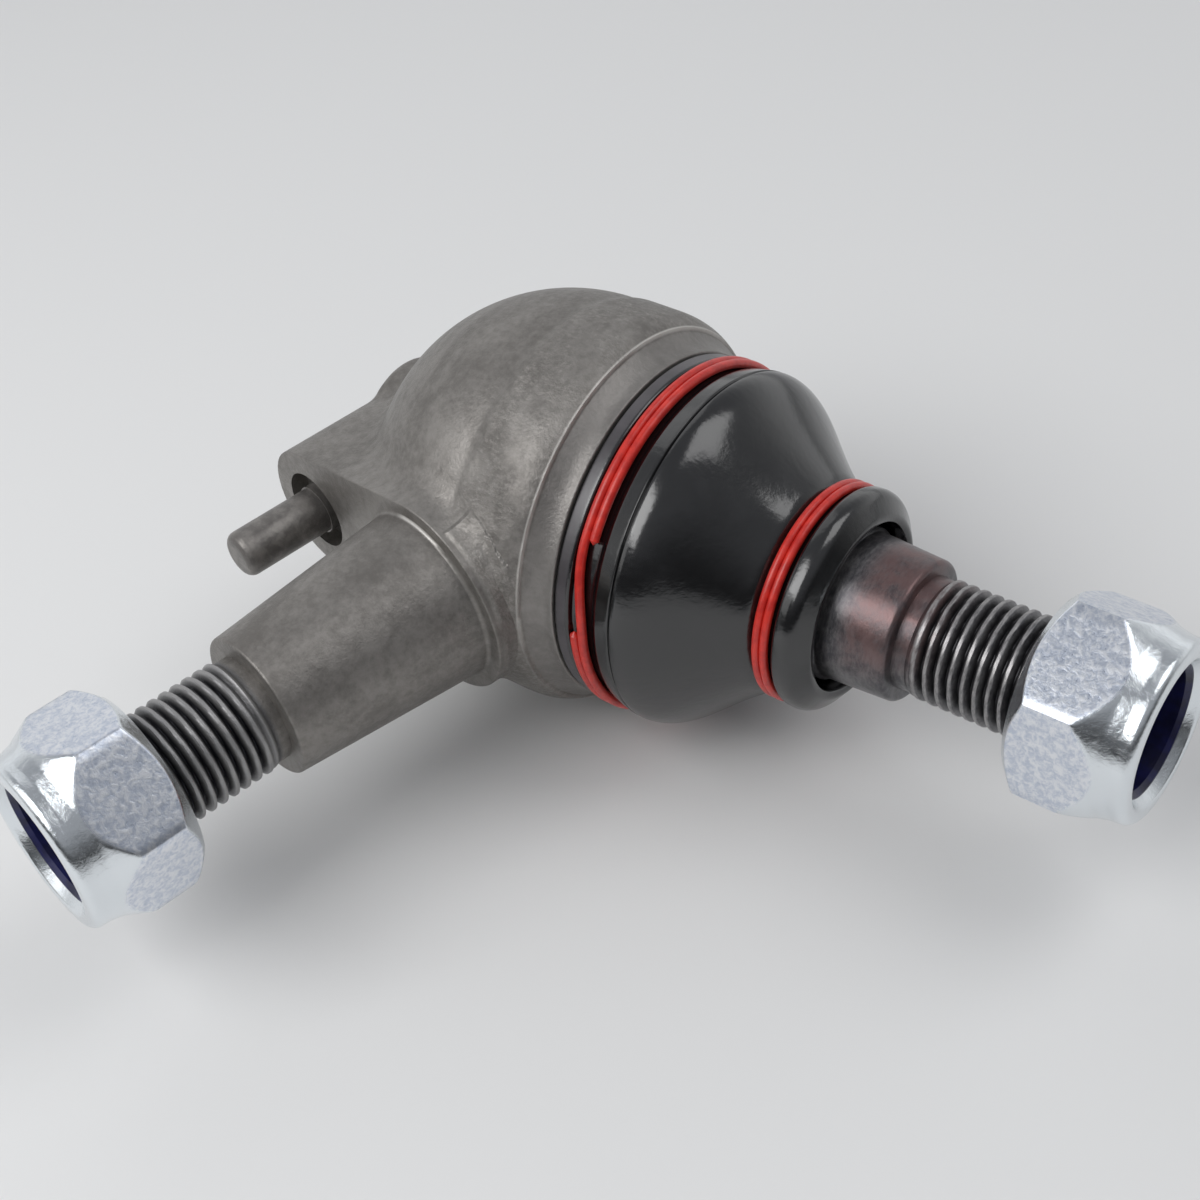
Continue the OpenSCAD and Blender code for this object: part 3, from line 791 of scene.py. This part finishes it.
# Two meshes put side by side in the first
def joined(first, second):
    both = bmesh.new()
    both.from_mesh(first)
    both.from_mesh(second)
    both.to_mesh(first)
    both.free()
    first.set_sharp_from_angle(angle=math.radians(40))
    return first


shankMesh = recessed(makeMesh("shank", [forgedShank()]))
housingMesh = joined(makeMesh("housing", [turnedBody(), shankThread()]), shankMesh)
makePiece("housing_forging", housingMesh, "housing", "forged_steel", ["housing"])


# Ball stud: ball, neck, collar, taper and thread about the stud's axis

stud = {
    "ballRadius": 15.0,
    "neckRadius": 7.5,
    "neckEnd": 26.0,
    "collarRadius": 9.3,
    "taperAt": 39.0,
    "taperStart": 8.85,
    "taperEnd": 8.42,
    "taperEndAt": 47.5,
    "threadStart": 49.1,
    "end": 71.5,
    "columns": 192,
}


# Ball, neck, collar and taper as one surface of revolution, and the relief with the thread as another
def studShells():
    s = stud
    sweep = np.radians(np.linspace(178, 32, 60))
    ball = np.stack([s["ballRadius"] * np.cos(sweep), s["ballRadius"] * np.sin(sweep)], 1)
    neck = roundedOutline([tuple(ball[-1]), (s["ballRadius"] * 0.87, s["neckRadius"], 1.5),
                           (s["neckEnd"], s["neckRadius"], 3), (s["neckEnd"] + 3, s["collarRadius"], 2),
                           (s["taperAt"] - 0.5, s["collarRadius"], 0.4),
                           (s["taperAt"], s["taperStart"], 0.3), (s["taperEndAt"], s["taperEnd"], 0.6),
                           (s["taperEndAt"], 6.0)], 0.7)
    relief = roundedOutline([(s["taperEndAt"] - 1, 5.6), (s["taperEndAt"] - 0.2, joint["reliefRadius"] + 0.2),
                             (s["threadStart"], joint["reliefRadius"])], 0.3)
    screw = np.vstack([revolved(relief[:-1], studAxis, joint["threadColumns"]),
                       threadRows(s["threadStart"], s["end"], studAxis)])
    return [shell(revolved(np.vstack([ball[:-1], neck]), studAxis, s["columns"])), shell(screw)]


makePiece("stud_steel", makeMesh("stud", studShells()), "stud", "stud_steel", ["ball_stud"])


# Dust boot: a seating lip, a channel for the large ring, a round belly, a channel for the small ring and an end lip

boot = {
    "seatStart": 12.25,
    "seatRadius": 19.45,
    "lipRadius": 21.65,
    "largeChannel": 20.95,
    "largeRingAt": 15.8,
    "bellyRadius": 22.0,
    "partingAt": 20.2,
    "beadEnd": 18.5,
    "smallChannel": 12.35,
    "smallRingAt": 34.5,
    "endRadius": 13.5,
    "endAt": 40.2,
    "throatRadius": 9.35,
    "throatBack": 33.0,
    "throatFront": 38.4,
    "overBead": 20.4,  # inner radius around the housing's mouth
    "wall": 1.9,
    "columns": 288,
}


# Outline of the boot's wall, outside from the seat to the end lip and inside back to the seat
def bootOutline():
    b = boot
    big, small, parting, belly = b["largeRingAt"], b["smallRingAt"], b["partingAt"], b["bellyRadius"]
    foot = roundedOutline([
        (b["seatStart"], b["seatRadius"]), (b["seatStart"], b["lipRadius"], 0.6),
        (big - 1.5, b["lipRadius"], 0.4), (big - 1.2, b["largeChannel"], 0.2), (big + 1.2, b["largeChannel"], 0.3),
        (big + 1.5, belly - 1.0, 0.4), (big + 2.3, belly - 0.5, 0.7), (parting - 0.2, belly - 0.1, 0.1),
        (parting, belly - 0.42), (parting + 0.2, belly - 0.12, 0.1), (parting + 0.5, belly - 0.1)], 0.4, 0.1)
    slope = cubic((parting + 0.5, belly - 0.1), (parting + 3.8, belly - 0.3),
                  (small - 7.6, belly - 5.1), (small - 1.9, b["endRadius"] - 0.3), 36)
    end = roundedOutline([
        (small - 1.9, b["endRadius"] - 0.3), (small - 1.25, b["smallChannel"] + 0.1, 0.3),
        (small + 1.2, b["smallChannel"], 0.3), (small + 1.7, b["endRadius"] - 0.1, 0.8),
        (small + 3.7, b["endRadius"], 1.8), (b["endAt"] - 0.2, b["endRadius"] - 2.5, 0.8),
        (b["endAt"] - 0.4, b["endRadius"] - 3.2, 0.3),
        (b["throatFront"], b["throatRadius"] + 0.5, 0.4), (b["throatBack"], b["throatRadius"])], 0.35)
    inside, grooveFront = belly - b["wall"], b["seatStart"] + 4.3
    inner = cubic((b["throatBack"], b["throatRadius"]), (27.0, belly - 6), (25.0, inside), (parting, inside), 24)
    back = spaced(np.array([(parting, inside), (b["beadEnd"], b["overBead"]), (grooveFront, b["overBead"]),
                            (grooveFront, b["seatRadius"])]), 0.5)
    return np.vstack([foot, slope[1:], end[1:], inner[1:], back[1:]])


bootShell = shell(revolved(bootOutline(), studAxis, boot["columns"]), looped=True)
bootPiece = makePiece("dust_boot_rubber", makeMesh("boot", [bootShell]), None, "boot_rubber", ["dust_boot"])
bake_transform(bootPiece)


# Wire rings: a round wire of nearly two turns, whose strands lie side by side and change places at the gap

largeRing = {
    "at": boot["largeRingAt"],
    "radius": 21.55,
    "wire": 0.56,
    "gapAt": 19.8,
    "gap": 30.5,
    "turns": 2,
    "node": "large_boot_ring",
    "body": "housing",
}
smallRing = {
    "at": boot["smallRingAt"],
    "radius": 12.9,
    "wire": 0.51,
    "gapAt": 190,
    "gap": 20,
    "turns": 2,
    "node": "small_boot_ring",
    "body": "boot_neck",
}
wireGrid = {"rows": 560, "sides": 20}


# Tube along the coil: centre = at +- wire on the axis, crossing over smoothly in the gap;
# tube point = centre + wire * (cos(v) * spoke + sin(v) * axis), drawn in to a dome at both ends
def coil(ring):
    length = 360 * ring["turns"] - ring["gap"]
    angle = np.linspace(0, length, wireGrid["rows"])
    side = 2 * smooth(angle, 360 - ring["gap"], 360) - 1
    turn = np.radians(ring["gapAt"] + ring["gap"] / 2 + angle)
    spoke = np.cos(turn)[:, None] * -studAxis[1] + np.sin(turn)[:, None] * studAxis[2]
    centre = (ring["at"] - side * ring["wire"])[:, None] * studAxis[0] + ring["radius"] * spoke
    arc = np.radians(np.minimum(angle, length - angle)) * ring["radius"]
    dome = np.sqrt(np.clip(1 - (1 - np.minimum(arc / ring["wire"], 1)) ** 2, 0.02, 1)) * ring["wire"]
    v = np.linspace(0, 2 * np.pi, wireGrid["sides"], endpoint=False)
    tube = np.cos(v)[None, :, None] * spoke[:, None] + np.sin(v)[None, :, None] * studAxis[0]
    return shell(centre[:, None] + dome[:, None, None] * tube)


for ring in (largeRing, smallRing):
    makePiece(ring["node"] + "_wire", makeMesh("ring", [coil(ring)]), ring["body"], "red_wire", [ring["node"]])


# Locking nuts: a chamfered hexagon that runs into a rolled collar over the nylon ring

nut = {
    "flats": 22.0,
    "corner": 12.72,
    "height": 14.0,
    "bore": 7.05,
    "mouth": 7.7,
    "cornerSoft": 0.15,
    "cornerSpread": 0.045,
    "blend": 0.25,
    "studAt": 62.9,
    "shankAt": 63.7,
    "studTurn": -5,
    "shankTurn": -16,
    "columns": 288,
}


# Outer radius = soft minimum of the turned outline and the hexagon, flats / 2 / cos(angle from the flat's middle)
def nutShell(axes, at, turned):
    n = nut
    outer = roundedOutline([
        (0.9, n["bore"]), (0, n["bore"] + 0.9), (0, n["flats"] / 2 - 0.7, 0.3), (2.1, n["corner"], 0.2),
        (7.0, n["corner"], 0.3), (10.4, n["flats"] / 2 - 0.05, 2), (12.0, n["flats"] / 2 - 0.42, 2),
        (n["height"] - 0.1, n["flats"] / 2 - 0.5, 1.5), (n["height"], n["mouth"] + 0.9, 0.6),
        (n["height"] - 1.1, n["mouth"], 0.3)], 0.14, 0.12)
    inner = spaced(np.array([(n["height"] - 1.1, n["mouth"]), (n["height"] - 1.12, 9.0), (n["height"] - 3.9, 9.0),
                             (n["height"] - 3.9, n["bore"]), (1.0, n["bore"])]), 0.6)
    turn = np.linspace(0, 2 * np.pi, n["columns"], endpoint=False)
    fromFlat = (turn - math.radians(turned) + math.pi / 6) % (math.pi / 3) - math.pi / 6
    fromCorner = math.pi / 6 - np.abs(fromFlat)
    hexagon = n["flats"] / 2 / np.cos(fromFlat)
    hexagon = hexagon - n["cornerSoft"] * np.exp(-((fromCorner / n["cornerSpread"]) ** 2))
    cap, k = outer[:, 1:2], n["blend"]
    soften = np.maximum(k - np.abs(cap - hexagon), 0) / k
    radius = np.minimum(cap, hexagon) - soften**2 * k / 4
    radius = np.where(outer[:, 0:1] < 0.95, np.where(outer[:, 1:2] < n["bore"] + 2, cap, radius), radius)
    lathed = smooth(hexagon - cap, -0.12, 0.1)
    spokes = np.cos(turn)[:, None] * axes[1] + np.sin(turn)[:, None] * axes[2]
    rows = np.concatenate([(at + outer[:, 0])[:, None, None] * axes[0] + radius[..., None] * spokes,
                           revolved(inner[1:-1] + [at, 0], axes, n["columns"])])
    marks = np.concatenate([lathed.ravel(), np.ones((len(inner) - 2) * n["columns"])])
    return shell(rows, looped=True), marks


for name, axes, at, turned in (("stud_nut", studAxis, nut["studAt"], nut["studTurn"]),
                               ("shank_nut", shankAxis, nut["shankAt"], nut["shankTurn"])):
    nutRows, nutMarks = nutShell(axes, at, turned)
    makePiece(name + "_plated", makeMesh("nut", [nutRows], nutMarks), name, "plated_steel", [name])


# CAD nodes that keep their shape take a finish

kept = {
    "locating_pin": "pin_steel",
    "ball_seat": "seat_polymer",
    "retaining_ring": "ring_steel",
    "stud_nut_insert": "insert_nylon",
    "shank_nut_insert": "insert_nylon",
}
for node, finish in kept.items():
    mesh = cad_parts[node].data
    mesh.materials.clear()
    mesh.materials.append(finishes[finish])
print("kept nodes finished")


# Floor, light and camera

studio = {
    "floorAt": -24.9,
    "floorColour": (0.80, 0.80, 0.795),
    "zenith": (0.33, 0.34, 0.36),
    "back": (0.88, 0.89, 0.90),
    "front": (0.06, 0.061, 0.063),
    "frontWay": (0.66, -0.75),  # level direction of the wall's darkest place
    "wallSpan": (-0.6, 0.5),
    "ceilingSpan": (0.12, 0.72),
}

# Soft lamps: place in metres, power, width and height
lamps = {
    "keyLight": ((0.268, 0.225, 0.606), 0.95, 0.4, 0.4),
    "stripLight": ((-0.111, -0.386, 0.446), 1.75, 0.42, 0.34),
    "rimLight": ((-0.429, 0.247, 0.495), 0.25, 0.4, 0.4),
    "sideLight": ((-0.312, -0.445, 0.254), 0.25, 0.3, 0.3),
}


def makeFloor():
    bpy.ops.mesh.primitive_plane_add(size=60, location=(0, 0, studio["floorAt"] * mm))
    floor = bpy.context.object
    floor.name = "floor"
    material = bpy.data.materials.new("floorFinish")
    material.use_nodes = True
    shader = material.node_tree.nodes["Principled BSDF"]
    shader.inputs["Base Color"].default_value = (*studio["floorColour"], 1)
    shader.inputs["Roughness"].default_value = 0.8
    floor.data.materials.append(material)


# Light tent: a dim ceiling over a wall that is pale at the back and darker in front, by the direction of the ray
def makeWorld():
    world = bpy.data.worlds.new("studioWorld")
    bpy.context.scene.world = world
    world.use_nodes = True
    tree = world.node_tree
    place = tree.nodes.new("ShaderNodeTexCoord")
    ray = place.outputs["Generated"]
    front = axisPart(tree, ray, (*studio["frontWay"], 0))
    wall = mixed(tree, ramp(tree, front, *studio["wallSpan"]), studio["back"], studio["front"])
    tent = mixed(tree, ramp(tree, parts(tree, ray)[2], *studio["ceilingSpan"]), wall, studio["zenith"])
    tree.links.new(tent, tree.nodes["Background"].inputs["Color"])


# A soft lamp that points at the object
def softLamp(name, place, power, width, height):
    light = bpy.data.lights.new(name, "AREA")
    light.shape, light.size, light.size_y, light.energy = "RECTANGLE", width, height, power
    lamp = bpy.data.objects.new(name, light)
    lamp.location = place
    lamp.rotation_euler = (Vector((0, -0.01, 0)) - Vector(place)).to_track_quat("-Z", "Y").to_euler()
    bpy.context.scene.collection.objects.link(lamp)


view = {
    "place": (122.306, -133.696, 149.841),
    "aim": (13.35, -14.45, 0.0),
    "roll": -7.77,
    "focalPixels": 1900,
    "imagePixels": 1200,
}


# Camera axes: right = cos(roll) * level right + sin(roll) * level up, with the look direction kept
def makeCamera():
    place, aim = (np.array(view[key]) * mm for key in ("place", "aim"))
    look = (aim - place) / np.linalg.norm(aim - place)
    levelRight = np.cross(look, (0, 0, 1))
    levelRight = levelRight / np.linalg.norm(levelRight)
    levelUp = np.cross(levelRight, look)
    roll = math.radians(view["roll"])
    right = math.cos(roll) * levelRight + math.sin(roll) * levelUp
    up = np.cross(right, look)
    lens = bpy.data.cameras.new("camera")
    lens.sensor_fit, lens.sensor_width = "HORIZONTAL", 36
    lens.lens = 36 * view["focalPixels"] / view["imagePixels"]
    lens.clip_start = 0.005
    camera = bpy.data.objects.new("camera", lens)
    turn = Matrix([[*row] for row in np.stack([right, up, -look], 1)]).to_4x4()
    camera.matrix_world = Matrix.Translation(Vector(place)) @ turn
    bpy.context.scene.collection.objects.link(camera)
    bpy.context.scene.camera = camera


makeFloor()
makeWorld()
for name, (place, power, width, height) in lamps.items():
    softLamp(name, place, power, width, height)
makeCamera()
bpy.context.scene.view_settings.view_transform = "Standard"
print("studio made")
